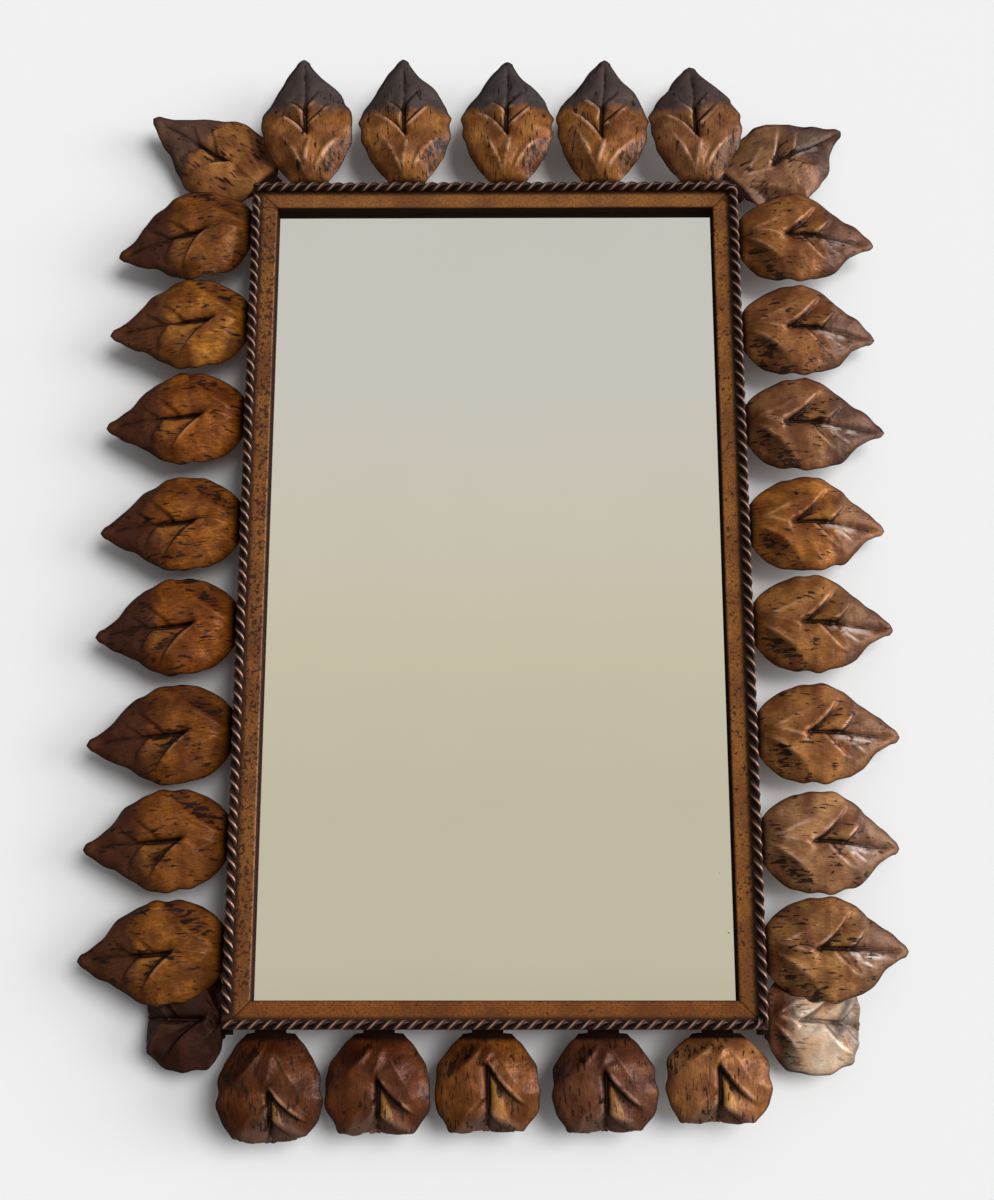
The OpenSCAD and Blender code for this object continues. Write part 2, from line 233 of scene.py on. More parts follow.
def ridge(x, u, start, end, bow, height, widths, fall, ends):
    """A crest with a slope on each side of it. Past it the sheet falls away towards the leaf's base."""
    off, share = vein_line(x, u, start, end, bow)
    fade = band(share, (-0.1, ends[0]), (ends[1], 1.1))
    slope = np.where(off > 0, off / widths[0], -off / widths[1])
    roof = np.exp(-np.sqrt(slope**2 + 0.01) + 0.1)
    drop = fall * np.minimum(np.maximum(off, 0), 14)
    return fade * (height * roof - drop), fade * bell(off, 1.6)


def first_vein(fork):
    """The vein that leaves the midrib at its fork."""
    return (0, fork), (-20.5, 47 + 0.6 * (fork - PLAIN_FORK)), 1.6


def relief_of_veins(x, u, fork, sharp, ribs, rng):
    """Height, crests and grooves of the veins, of which the first is the deepest."""
    height, crest, groove = np.zeros((3,) + x.shape)
    for number, (start, end, bow, depth) in enumerate([(*first_vein(fork), FIRST_VEIN_DEPTH)] + UPPER_VEINS):
        first = number == 0
        h, c, g = pressed_vein(x, u, start, end, bow, depth * rng.uniform(0.85, 1.15))
        height += h * (1 if first else 0.4 + 0.6 * ribs)
        crest = np.maximum(crest, c * (sharp if first else ribs))
        groove = np.maximum(groove, g * min(depth / 1.9, 1) * (1 if first else 0.25 + 0.75 * ribs))
    return height, crest, groove


def relief_of_base(x, u, fork, ribs, rng):
    """Height and crests of the fan of ridges and hollows that starts at the leaf's base."""
    fan = [
        (*BASE_RIDGE, 3.0, (2.4, 6.5), 0.12, (0.1, 0.55)),
        ((-3.4, 4), (2.6, fork), 0.6, 2.2, (3.2, 3.4), 0.0, (0.25, 0.75)),
        ((-0.5, 2), (-19, 38), 1.0, 2.2, (3.0, 6.0), 0.10, (0.12, 0.5)),
        ((0.8, 4), (10, 26), 0.6, -1.5, (2.6, 2.6), 0.0, (0.3, 0.6)),
        ((-1.6, 4), (-9, 27), 0.4, -1.3, (2.6, 2.6), 0.0, (0.3, 0.6)),
    ]
    height, crest = np.zeros((2,) + x.shape)
    for start, end, bow, tall, widths, fall, ends in fan:
        h, c = ridge(x, u, start, end, bow, tall * rng.uniform(0.85, 1.15), widths, fall, ends)
        crosses_midrib = abs(end[0]) < 4
        side = 1.0 if crosses_midrib else ease(x * (1 if end[0] > 0 else -1), -1.5, 1.5)
        height += h * side
        if tall > 0:
            crest = np.maximum(crest, 0.9 * ribs * c * side)
    return height, crest


def leaf_relief(x, u, fork, sharp, ribs, glint, rng):
    """The die's relief above the sheet, with masks of its crests and grooves and of how it is painted."""
    height, crest, groove = relief_of_veins(x, u, fork, sharp, ribs, rng)
    base_height, base_crest = relief_of_base(x, u, fork, ribs, rng)
    height += base_height
    crest = np.maximum(crest, base_crest)
    past = u - fork

    # Beside the first vein: the raised lens, and the paint left under it and below the base's ridge
    off, share = vein_line(x, u, *BASE_RIDGE)
    scoop = band(off, (0.8, 2.5), (7, 13)) * band(share, (0.1, 0.3), (0.95, 1.25))
    off, share = vein_line(x, u, *first_vein(fork))
    under = band(-off, (0.5, 1.5), (3, 8)) * (1 - ease(share, 0.8, 1.1)) * ease(-x, -0.5, 2)
    lens = ease(-x, 0.8, 2.2) * ease(-off, 1.2, 2.6)
    lens *= (1 - ease(u, 49, 57)) * (1 - ease(-x - 0.36 * past, 0.5, 2.5))

    # The midrib's groove is deep from the fork on and shallow towards the tip
    deep = band(past, (-2.5, 2.5), (16, 30))
    rest = ease(past, 8, 26) * (1 - ease(u, 78, 90))
    drift = x - 0.6 * np.sin(u / 9.0)
    narrow = np.exp(-(np.abs(drift) / 1.7) ** 1.6)
    wide = np.exp(-(np.abs(drift) / 5.0) ** 1.3)
    height -= deep * (2.6 * narrow + 1.3 * wide) + rest * (0.9 * narrow + 1.5 * wide)
    groove = np.maximum(groove, (deep + 0.6 * rest) * bell(drift, 1.5))

    # Painted highlights: pale glint streaks beside the midrib
    glint_streak = band(drift, (0.8, 1.8), (2.6, 5.6)) * band(u, (43, 50), (64, 78))
    short = bell(drift - 4.6 - 0.35 * (u - 52), 1.1) * band(u, (50, 55), (60, 68))
    glint_streak = np.maximum(glint_streak, 0.8 * short)

    pillow = bell(x - 13, 8) * bell(u - 36, 11) + 0.8 * bell(x + 21, 6) * bell(u - 36, 12)
    height += 1.3 * pillow + lens * np.maximum(1.6 - 0.18 * np.abs(x), 0)
    paint = np.clip(0.9 * scoop + 0.6 * under + 0.4 * deep * wide, 0, 1)
    masks = {"crest": np.clip(crest, 0, 1), "groove": np.clip(groove, 0, 1), "paint": paint, "lens": lens,
             "glint": glint * glint_streak}
    return height, masks


def dents(x, u, rng, wavelength, count=14):
    """Soft hammered unevenness of about one unit in height."""
    total = np.zeros_like(x)
    for _ in range(count):
        angle = rng.uniform(0, math.pi)
        k = 2 * math.pi / (wavelength * rng.uniform(0.75, 1.5))
        total += np.sin(k * (x * math.cos(angle) + u * math.sin(angle)) + rng.uniform(0, 2 * math.pi))
    return total / math.sqrt(count)


def bend(p, pivot_u, pivot_d, angle, radius):
    """Bends what lies past the pivot towards the back, about an arc instead of a sharp line."""
    turn = math.radians(angle)
    past, off = p[0] - pivot_u, p[2] - pivot_d
    share = np.clip(past / (radius * abs(turn) + 1e-9), 0, 1)
    a = turn * share
    rest = np.maximum(past - radius * abs(turn), 0)
    along = pivot_u + radius * np.sin(a) + rest * np.cos(a) - off * np.sin(a)
    depth = pivot_d + radius * (1 - np.cos(a)) + rest * np.sin(a) + off * np.cos(a)
    bent = past > 0
    return np.where(bent, along, p[0]), p[1], np.where(bent, depth, p[2])


def fold_back(p, carried, pivot_u, pivot_d, angle):
    """Turns the carried points about their pivots, easing the turn in over a few millimetres."""
    past, off = p[0] - pivot_u, p[2] - pivot_d
    easing = ease(past, -FOLD_RADIUS, FOLD_RADIUS)
    a = math.radians(angle) * np.where(carried, np.where(past > 0, easing, 1), easing)
    still = ~carried & (past < -FOLD_RADIUS)
    turned_u = pivot_u + past * np.cos(a) - off * np.sin(a)
    turned_d = pivot_d + past * np.sin(a) + off * np.cos(a)
    return np.where(still, p[0], turned_u), p[1], np.where(still, p[2], turned_d)


def sheet_depth(u, x, place):
    """Depth of the smooth sheet behind the frame's face, before its folds."""
    dome = EDGE_DROP * np.interp(u / LEAF_LEN, *zip(*DROP)) * np.abs(2 * x / LEAF_W) ** DOME_POWER
    return RAIL_D + place["rise"] * smooth_curve(u / LEAF_LEN, SPINE) + dome


def shaped(u, x, lift, place):
    """Takes points of the flat leaf, lifted above its sheet, into the part's frame."""
    p = (u, x, sheet_depth(u, x, place) - lift)
    edge = np.abs(x) / (LEAF_W / 2 * FOLD_EDGE_HALF)
    fold_u = LEAF_LEN * (FOLD_AT + (FOLD_EDGE_AT - FOLD_AT) * edge)
    carried = u > fold_u
    if place["tuck"]:
        # The tip is tucked in on the flat sheet first, and the fold then carries it along
        edge = np.minimum(np.abs(x) / (LEAF_W / 2 * TUCK_EDGE_HALF), 1.2)
        tuck_u = LEAF_LEN * (TUCK_AT + (TUCK_EDGE_AT - TUCK_AT) * edge)
        p = bend(p, tuck_u, sheet_depth(tuck_u, x, place), place["tuck"], TUCK_RADIUS)
    p = fold_back(p, carried, fold_u, sheet_depth(fold_u, x, place), place["fold"])
    along = p[0] - place["trim"] * np.clip(np.maximum(p[0], 0) / LEAF_LEN / BASE, 0, 1)
    side, depth = -p[1], p[2]
    near = np.clip(along, 0, TURN * LEAF_LEN)
    far = along - near
    a = math.radians(place["lean"]) * np.clip(along / (TURN * LEAF_LEN), 0, 1)
    outward = near * np.cos(a / 2) + far * np.cos(a) - side * np.sin(a)
    over = near * np.sin(a / 2) + far * np.sin(a) + side * np.cos(a)
    return on_frame(outward, over, depth, place)


def on_frame(outward, over, depth, place):
    """Turns a leaf's own directions into the part's: its base sits on the frame's edge."""
    out = math.radians(place["out"])
    return np.stack([place["x"] + outward * math.cos(out) - over * math.sin(out), FACE_Y + depth,
                     MIDDLE_Z + place["z"] + outward * math.sin(out) + over * math.cos(out)], -1)


def leaf_half(share, across, place, rng):
    """Half width of the flat leaf on the side of each point, as a share of its greatest half width."""
    wave = np.sin(share * LEAF_LEN / 2.1 + rng.uniform(0, 6)) * band(share, (0.1, 0.3), (0.75, 0.95))
    at = share ** place["swell"]
    half = np.where(across < 0, smooth_curve(at, LEFT_EDGE), smooth_curve(at, RIGHT_EDGE))
    half = half + WAVE * rng.uniform(0.8, 1.3) * wave + place["shoulder"] * (1 - ease(share, -0.04, 0.17))
    if place["tuck"]:
        half = half * (1 - TIP_PINCH * (0.4 * ease(share, 0.51, 0.66) + 0.6 * ease(share, 0.64, 0.69)))
    return half


def leaf_sheet(place, rng):
    """The front of one leaf as a grid of points in the part's frame, with the masks for its material."""
    t = np.linspace(-1, 1, COLS)
    t = np.sign(t) * np.abs(t) ** COL_POWER
    s = np.linspace(0, 1, ROWS) ** ROW_POWER
    share, across = np.meshgrid(s, t, indexing="ij")
    half = LEAF_W / 2 * leaf_half(share, across, place, rng)
    x = half * across
    u = LEAF_LEN * share
    rim = half * (1 - np.abs(across))
    height, masks = leaf_relief(x, u, place["fork"], *place["marks"], rng)
    grow = ease(share, 0.02, 0.16) * (1 - 0.75 * ease(share, 0.9, 1))
    lift = height * grow + DENT * dents(x, u, rng, DENT_LEN) * ease(share, 0.08, 0.25)
    lift += RIM_DENT * dents(x, u, rng, RIM_DENT_LEN) * (1 - ease(rim, 0, 8)) * ease(share, 0.1, 0.3)
    rounded = RIM_ROUND * (1 - ease(rim, 0, 5.5)) ** 2
    lift -= rounded * ease(share, 0.03, 0.12) * (1 - 0.6 * ease(share, 0.7, 0.95))
    masks = {key: mask * grow for key, mask in masks.items()}
    tip_at = share
    if place["tuck"]:
        past_fold = share - FOLD_AT - (FOLD_EDGE_AT - FOLD_AT) * np.abs(x) / (LEAF_W / 2 * FOLD_EDGE_HALF)
        masks["lens"] = masks["lens"] * (1 - ease(past_fold, -0.01, 0.015))
        tip_at = past_fold + 0.6
    masks.update(rim=1 - ease(rim, 0.2, 2.2), share=share, tip_at=tip_at)
    return shaped(u, x, lift, place), np.stack([x, u], -1), masks


def both_sides(values, tab_rows):
    """The sheet's values with the tab's rows before them, once for the front and once for the back."""
    first = np.repeat(values[:1], tab_rows, axis=0)
    side = np.concatenate([first, values]).reshape((-1,) + values.shape[2:])
    return np.concatenate([side, side])


def make_leaf(name, place, number):
    """One leaf: its embossed sheet with a back of its own, and the tab behind the rail."""
    rng = np.random.default_rng(number)
    sheet, flat, masks = leaf_sheet(place, rng)
    t = np.linspace(1, -1, COLS) * NECK_W / 2
    tab = np.stack([on_frame(np.full(COLS, -reach), t, np.full(COLS, RAIL_D), place)
                    for reach in (place["lap"], place["lap"] / 2, TAB_END)])
    front = np.concatenate([tab, sheet])
    normal = np.cross(np.gradient(front, axis=0), np.gradient(front, axis=1))
    normal /= np.linalg.norm(normal, axis=-1, keepdims=True) + 1e-9
    normal *= np.sign(normal[len(tab) + 1, COLS // 2, 1])
    points = np.concatenate([front.reshape(-1, 3), (front + normal * SHEET_T).reshape(-1, 3)])
    points[:, 1] = np.minimum(points[:, 1], BACK_LIMIT)
    rows = len(front)
    count = rows * COLS
    faces = grid_faces(rows, COLS, 0, True) + grid_faces(rows, COLS, count)
    grid = np.arange(count).reshape(rows, COLS)
    rim = np.concatenate([grid[0, :-1], grid[:-1, -1], grid[-1, :0:-1], grid[:0:-1, 0]]).tolist()
    faces += [[b, a, a + count, b + count] for a, b in zip(rim, rim[1:] + rim[:1])]
    piece = new_piece(name + "_sheet", points * MM, faces, [name])
    return piece, both_sides(flat, len(tab)), {key: both_sides(mask, len(tab)) for key, mask in masks.items()}


# How many leaves a row has, and how far its end leaves and the lower corner leaves lie from the frame's ends
ROW_COUNT = 5
SIDE_COUNT = 8
ROW_END = 29
TOP_END = 30
BOTTOM_END = 45
CORNER_UP = 6

# A plain leaf, and what differs from it in each row, leaf by leaf. Marks are how strongly the first vein's
# crest and the other crests are painted pale, as highlights and rubbed lacquer, and how strong the painted
# glint is
PLAIN_LEAF = dict(tuck=0, rise=1.0, trim=0.0, lap=TAB_LAP, fork=28, swell=1.0, marks=(1.0, 1.0, 0.0),
                  shoulder=0.0)
TOP = dict(shift=[6, 6, 8, 5, 6], lean=[4, 2.5, 0, -3, 2.5], fold=[0, 0, 4, 2, 10], fork=[33, 32, 32, 29, 30])
BOTTOM = dict(shift=[-2, -3, -4, -1, 1], lean=[2, 0, 0, 1, -1], fold=[-6, 6, 6, 6, 8],
              trim=[3, 5.5, 6.5, 6.5, 11], fork=[33, 29, 22, 26, 27])
LEFT = dict(shift=[4, 4, 4, 0, 0, -1, 0, 0], lean=[13, 6, 4, 4, 5, 6, 5, 5],
            fold=[10, 8, 10, 10, 12, 8, 12, 12], fork=[30, 22, 26, 27, 26, 27, 27, 30])
RIGHT = dict(shift=[-4, -3, -1, -2, 0, -3, -2, 0], lean=[-2, -2, -3, -1, -2, -1, -3, -1],
             fold=[11, 17, 11, 19, 15, 14, 22, 18], fork=[29, 28, 24, 26, 29, 29, 30, 29])


def leaf_places():
    """Where each leaf sits, how it leans and how it is bent, from the same values as the solids."""
    row_pitch = (FRAME_W - 2 * ROW_END) / (ROW_COUNT - 1)
    side_pitch = (FRAME_H - TOP_END - BOTTOM_END) / (SIDE_COUNT - 1)
    side_x = FRAME_W / 2
    row_z = FRAME_H / 2 + ROW_OUT
    places = {}
    for i in range(ROW_COUNT):
        x = (i - (ROW_COUNT - 1) / 2) * row_pitch
        places[f"leaf_top_{i + 1}"] = dict(
            PLAIN_LEAF, x=x + TOP["shift"][i], z=row_z, out=90, lean=TOP["lean"][i], fold=TOP["fold"][i],
            lap=TAB_LAP + ROW_OUT, fork=TOP["fork"][i], swell=TOP_SWELL)
        fold = TIP_FOLD + BOTTOM["fold"][i]
        places[f"leaf_bottom_{i + 1}"] = dict(
            PLAIN_LEAF, x=x + BOTTOM["shift"][i], z=-row_z, out=-90, lean=BOTTOM["lean"][i], fold=fold,
            tuck=TIP_TUCK - fold, trim=BOTTOM["trim"][i], lap=TAB_LAP + ROW_OUT, fork=BOTTOM["fork"][i],
            swell=BOTTOM_SWELL, marks=(1.0, 0.35, 0.0), shoulder=SHOULDER)
    for i in range(SIDE_COUNT):
        z = FRAME_H / 2 - TOP_END - i * side_pitch
        places[f"leaf_left_{i + 1}"] = dict(
            PLAIN_LEAF, x=-side_x, z=z + LEFT["shift"][i], out=180, lean=LEFT["lean"][i],
            fold=LEFT["fold"][i], fork=LEFT["fork"][i], marks=(0.45, 0.2, 0.0))
        places[f"leaf_right_{i + 1}"] = dict(
            PLAIN_LEAF, x=side_x, z=z + RIGHT["shift"][i], out=0, lean=RIGHT["lean"][i],
            fold=RIGHT["fold"][i], fork=RIGHT["fork"][i], marks=(0.6, 0.6, 0.4 + 0.07 * i))
    upper = dict(PLAIN_LEAF, rise=-0.4, lap=CORNER_LAP, fork=30)
    places["leaf_corner_top_left"] = dict(
        upper, x=6 - side_x, z=FRAME_H / 2 + 6, out=135, lean=13, fold=6, marks=(0.4, 0.3, 0.0))
    places["leaf_corner_top_right"] = dict(
        upper, x=side_x + 1, z=FRAME_H / 2 + 2, out=45, lean=-12, fold=24, marks=(0.6, 0.6, 0.5))
    lower = dict(PLAIN_LEAF, z=CORNER_UP - FRAME_H / 2, rise=0, fork=26)
    places["leaf_corner_bottom_left"] = dict(
        lower, x=-side_x, out=180, lean=0, fold=46, tuck=TIP_TUCK - 46, trim=14, marks=(0.15, 0.3, 0.0))
    places["leaf_corner_bottom_right"] = dict(
        lower, x=side_x, out=0, lean=-5, fold=34, tuck=TIP_TUCK - 34, trim=7)
    return places


# Materials

def colour(code):
    """Linear colour of a hexadecimal screen colour."""
    channels = [int(code[i:i + 2], 16) / 255 for i in (1, 3, 5)]
    return tuple(c / 12.92 if c <= 0.04045 else ((c + 0.055) / 1.055) ** 2.4 for c in channels) + (1.0,)


def connect(tree, socket, value):
    """Links the socket to another one, or gives it a plain value."""
    if isinstance(value, bpy.types.NodeSocket):
        tree.links.new(value, socket)
    else:
        socket.default_value = value


def add_node(tree, kind, inputs=None, **settings):
    made = tree.nodes.new("ShaderNode" + kind)
    for key, value in settings.items():
        setattr(made, key, value)
    for key, value in (inputs or {}).items():
        connect(tree, made.inputs[key], value)
    return made


def mix_colours(tree, share, first, second, blend="MIX", clamp=False):
    """Mixes two colours. The node's inputs 0, 6 and 7 are its share and its colours."""
    made = add_node(tree, "Mix", data_type="RGBA", blend_type=blend, clamp_result=clamp)
    for place, value in ((0, share), (6, first), (7, second)):
        connect(tree, made.inputs[place], value)
    return made.outputs[2]


class Look:
    """A node material, with short calls for the nodes that it needs."""

    def __init__(self, name):
        self.material = bpy.data.materials.new(name)
        self.material.use_nodes = True
        self.tree = self.material.node_tree
        self.shader = self.tree.nodes["Principled BSDF"]

    def node(self, kind, inputs=None, **settings):
        return add_node(self.tree, kind, inputs, **settings)

    def calc(self, operation, first, second):
        return self.node("Math", {0: first, 1: second}, operation=operation).outputs[0]

    def plus(self, first, second):
        return self.calc("ADD", first, second)

    def minus(self, first, second):
        return self.calc("SUBTRACT", first, second)

    def times(self, first, second):
        return self.calc("MULTIPLY", first, second)

    def larger(self, first, second):
        return self.calc("MAXIMUM", first, second)

    def step(self, value, low, high):
        """0 at low and 1 at high with a smooth step between them. Low may be the larger of the two."""
        made = self.node("MapRange", {"Value": value, "From Min": low, "From Max": high},
                         interpolation_type="SMOOTHSTEP")
        return made.outputs["Result"]

    def scale(self, value, low, high):
        """Takes values from 0 to 1 to the range from low to high."""
        return self.node("MapRange", {"Value": value, "To Min": low, "To Max": high}).outputs["Result"]

    def mix(self, share, first, second, blend="MIX", clamp=False):
        return mix_colours(self.tree, share, first, second, blend, clamp)

    def shaded(self, tone, shade):
        return self.mix(1.0, tone, shade, "MULTIPLY", clamp=True)

    def noise(self, where, size, detail=4.0, rough=0.5, distort=0.0):
        inputs = {"Vector": where, "Scale": 1.0 / size, "Detail": detail, "Roughness": rough,
                  "Distortion": distort}
        return self.node("TexNoise", inputs).outputs["Fac"]

    def stretch(self, where, scale, shift=(0, 0, 0)):
        return self.node("Mapping", {"Vector": where, "Scale": scale, "Location": shift}).outputs["Vector"]

    def read(self, name):
        return self.node("Attribute", attribute_name=name).outputs["Fac"]

    def read_vector(self, name):
        return self.node("Attribute", attribute_name=name).outputs["Vector"]

    def tone(self, name):
        return self.node("Attribute", attribute_name=name).outputs["Color"]

    def place(self):
        return self.node("TexCoord").outputs["Object"]

    def bump(self, height, strength, distance, normal=None):
        inputs = {"Height": height, "Strength": strength, "Distance": distance}
        if normal is not None:
            inputs["Normal"] = normal
        return self.node("Bump", inputs).outputs["Normal"]

    def set(self, **values):
        for key, value in values.items():
            connect(self.tree, self.shader.inputs[key.replace("_", " ")], value)


def leaf_marks(look, at, grain, paint, groove, painted_sheen):
    """Where paint is dark: brush marks along the leaf in clusters, and a ragged line in each groove."""
    fine = look.noise(look.stretch(at, (1.0, 0.24, 1.0), (3.1, 7.7, 0)), 1.7, 3, 0.55, 0.4)
    patch = look.noise(look.stretch(at, (1.0, 0.6, 1.0), (9.0, 2.0, 0)), 8, 2)
    more = look.plus(look.times(look.step(patch, 0.45, 0.62), 0.1), look.times(paint, 0.13))
    limit = look.minus(0.675, look.plus(more, look.read("strokes")))
    mark = look.times(look.step(fine, limit, look.plus(limit, 0.035)), look.scale(painted_sheen, 0.92, 0.35))
    ragged = look.plus(groove, look.times(look.minus(grain, 0.5), 1.3))
    return look.larger(mark, look.times(look.step(ragged, 0.34, 0.66), look.scale(painted_sheen, 0.94, 0.6)))


def leaf_tip(look, cloud, blot):
    """Where the leaf is dark towards its tip, with a ragged border."""
    by_cloud = look.times(look.minus(cloud, 0.5), 0.3)
    by_blot = look.times(look.minus(blot, 0.5), 0.2)
    ragged = look.times(look.plus(by_cloud, by_blot), look.read("tip_rag"))
    return look.times(look.step(look.plus(look.read("tip_at"), ragged), 0.53, 0.63), look.read("tip"))


def leaf_lacquer(look, cloud, blot, grain):
    """Golden or rosy copper lacquer, with redder blots and a dark grain."""
    base = look.mix(look.step(cloud, 0.34, 0.66), colour("#79471b"), colour("#ad6d25"))
    base = look.mix(look.times(look.step(blot, 0.5, 0.68), 0.6), base, colour("#6b2f14"))
    base = look.mix(look.times(look.step(grain, 0.62, 0.4), 0.6), base, colour("#5c3012"))
    rosy = look.mix(look.step(cloud, 0.35, 0.65), colour("#74422a"), colour("#a06a48"))
    return look.mix(look.times(look.read("tint"), 0.8), base, rosy)


def leaf_look():
    """Copper lacquer, wiped so that dark paint stays in the grooves, darker towards the tip, with painted
    light, shade and highlights.
    """
    look = Look("leaf_copper")
    at = look.read_vector("leaf_at")
    shade = look.tone("shade")
    masks = ("groove", "crest", "rim", "paint", "painted_sheen")
    groove, crest, rim, paint, painted_sheen = (look.read(name) for name in masks)
    cloud = look.noise(at, 15, 3)
    blot = look.noise(look.stretch(at, (1, 1, 1), (31.0, 12.0, 0)), 11, 4, 0.6)
    grain = look.noise(look.stretch(at, (1.0, 0.22, 1.0)), 1.1, 5, 0.65)

    base = look.mix(look.times(paint, 0.6), leaf_lacquer(look, cloud, blot, grain), colour("#4c2415"))
    # Each leaf's painted light and shade, with its lacquer's own differences
    base = look.shaded(base, shade)
    # Painted reflection: a pale copper sheen on the sheen leaves towards their tip
    sheen_tone = look.mix(look.step(cloud, 0.35, 0.65), colour("#ffcfa9"), colour("#fff0dd"))
    sheen_tone = look.mix(look.times(look.step(grain, 0.62, 0.4), 0.4), sheen_tone, colour("#eab995"))
    base = look.mix(look.times(painted_sheen, 0.92), base, sheen_tone)

    # Painted light: the lens beside the first vein is painted golden as if lit, and the crests are painted
    # pale, part painted highlight and part rubbed lacquer
    softer = look.mix(0.5, (1, 1, 1, 1), shade)
    lit_gold = look.shaded(colour("#b37f3a"), softer)
    pale = look.mix(painted_sheen, look.shaded(colour("#dba684"), softer), colour("#fff2e6"))
    lit = look.times(look.times(look.read("lens"), look.read("lit")), look.scale(grain, 0.6, 1.0))
    rub_and_highlight = look.times(look.step(crest, 0.1, 0.9), look.step(blot, 0.62, 0.4))
    base = look.mix(lit, base, lit_gold)
    base = look.mix(look.times(rub_and_highlight, look.scale(grain, 0.4, 1.0)), base, pale)

    # Darker towards the tip: dark patina and painted shade, in each row's tip tone
    tip = leaf_tip(look, cloud, blot)
    base = look.mix(tip, base, look.tone("tip_tone"))
    # Painted highlights: the glints beside the midrib, broken into patches
    worn = look.step(look.plus(blot, look.times(grain, 0.3)), 0.78, 0.6)
    base = look.mix(look.times(look.times(look.read("glint"), worn), 0.9), base, colour("#ecdcd4"))
    base = look.mix(leaf_marks(look, at, grain, paint, groove, painted_sheen), base, colour("#21100d"))
    # Painted shade on the neck behind the wire, without reflection, and a dark rim along the edge
    neck_shade = look.step(look.read("share"), 0.07, 0.02)
    base = look.mix(look.larger(look.times(rim, 0.7), neck_shade), base, colour("#22130f"))

    normal = look.bump(grain, 0.5, 0.0005)
    normal = look.bump(look.noise(at, 5, 3), 0.6, 0.0012, normal)
    look.set(Base_Color=base, Roughness=look.plus(look.scale(grain, 0.28, 0.46), look.times(tip, 0.12)),
             Metallic=look.times(look.minus(1.0, neck_shade), look.scale(painted_sheen, 0.3, 0.45)),
             Specular_IOR_Level=look.scale(neck_shade, 0.5, 0.0), Normal=normal)
    return look.material


def wire_look():
    """Dark brown metal, rubbed to a pale copper with a painted highlight where the strands stand out, and
    with painted shade where they meet.
    """
    look = Look("dark_wire")
    where = look.place()
    out = look.read("out")
    grain = look.noise(where, 0.0009, 4, 0.6)
    patch = look.noise(where, 0.012, 2)
    base = look.mix(look.step(patch, 0.35, 0.7), colour("#23120f"), colour("#402620"))
    # Where the strands stand out: rubbed copper and a painted highlight
    rub_and_highlight = look.times(look.step(out, 0.84, 1.0), look.scale(grain, 0.45, 1.0))
    base = look.mix(rub_and_highlight, base, colour("#c79a86"))
    base = look.mix(look.times(look.step(grain, 0.58, 0.7), 0.7), base, colour("#2a1814"))
    # Painted shade where the two strands meet
    base = look.mix(look.step(out, 0.15, -0.45), base, colour("#120b0b"))
    look.set(Base_Color=base, Metallic=0.4, Roughness=look.scale(grain, 0.28, 0.46),
             Normal=look.bump(grain, 0.3, 0.0002))
    return look.material


def rail_look():
    """Golden brown paint with fine dark red specks on the face, a painted shadow under the wire, and painted
    near black shade on the inner walls.
    """
    look = Look("rail_copper")
    where = look.place()
    front = look.read("front")
    cloud = look.noise(where, 0.018, 3)
    grain = look.noise(where, 0.0014, 5, 0.65)
    base = look.mix(look.step(cloud, 0.35, 0.65), colour("#7c4822"), colour("#9a602c"))
    base = look.mix(look.times(look.step(grain, 0.6, 0.4), 0.6), base, colour("#5a3016"))
    speck = look.noise(where, 0.0022, 2.5, 0.6, 0.4)
    patch = look.noise(look.stretch(where, (1, 1, 1), (0.3, 0.1, 0.7)), 0.012, 2)
    spread = look.plus(look.times(look.step(patch, 0.4, 0.62), 0.04), look.times(look.read("worn"), 0.17))
    limit = look.minus(0.69, spread)
    speckle = look.times(look.step(speck, limit, look.plus(limit, 0.07)), 0.85)
    base = look.shaded(base, look.tone("shade"))
    base = look.mix(speckle, base, colour("#33160e"))
    # Painted shadow of the wire along the face's outer edge
    wire_shadow = look.times(look.step(look.read("inward"), 8.4, 5.8), 0.85)
    base = look.mix(wire_shadow, base, colour("#2a130d"))
    # Painted near black shade on the inner walls, backs and outer sides, and dark mitre joints
    base = look.mix(look.step(front, 0.95, 0.6), base, colour("#3b2a22"))
    face = look.step(front, 0.5, 0.95)
    look.set(Base_Color=base, Metallic=look.scale(face, 0.0, 0.3), Roughness=look.scale(grain, 0.36, 0.55),
             Specular_IOR_Level=look.scale(face, 0.0, 0.5), Normal=look.bump(grain, 0.4, 0.0004))
    return look.material


def glass_look():
    """Old silvered glass: almost a clean mirror, with a few dark spots towards its right edge."""
    look = Look("mirror")
    where = look.place()
    spots = look.noise(look.stretch(where, (1, 1, 1), (0.21, 0, 0.4)), 0.0034, 2, 0.5)
    split = look.node("SeparateXYZ", {"Vector": where})
    side = look.step(split.outputs["X"], 0.118, 0.138)
    spot = look.times(look.step(spots, 0.755, 0.775), side)
    film = look.noise(where, 0.05, 3)
    base = look.mix(look.scale(film, 0.0, 0.06), (0.93, 0.935, 0.92, 1), colour("#c9c3a8"))
    base = look.mix(spot, base, colour("#2c2620"))
    look.set(Base_Color=base, Metallic=1.0, Roughness=look.scale(film, 0.015, 0.03))
    return look.material


def iron_look():
    """Dark brown iron of the tray, clips and plate."""
    look = Look("dark_iron")
    where = look.place()
    cloud = look.noise(where, 0.03, 4)
    grain = look.noise(where, 0.0014, 5, 0.65)
    base = look.mix(look.step(cloud, 0.35, 0.68), colour("#2b1d17"), colour("#4a2e20"))
    base = look.mix(look.step(grain, 0.62, 0.75), base, colour("#6b4028"))
    look.set(Base_Color=base, Metallic=0.4, Roughness=look.scale(grain, 0.4, 0.65),
             Normal=look.bump(grain, 0.35, 0.0003))
    return look.material


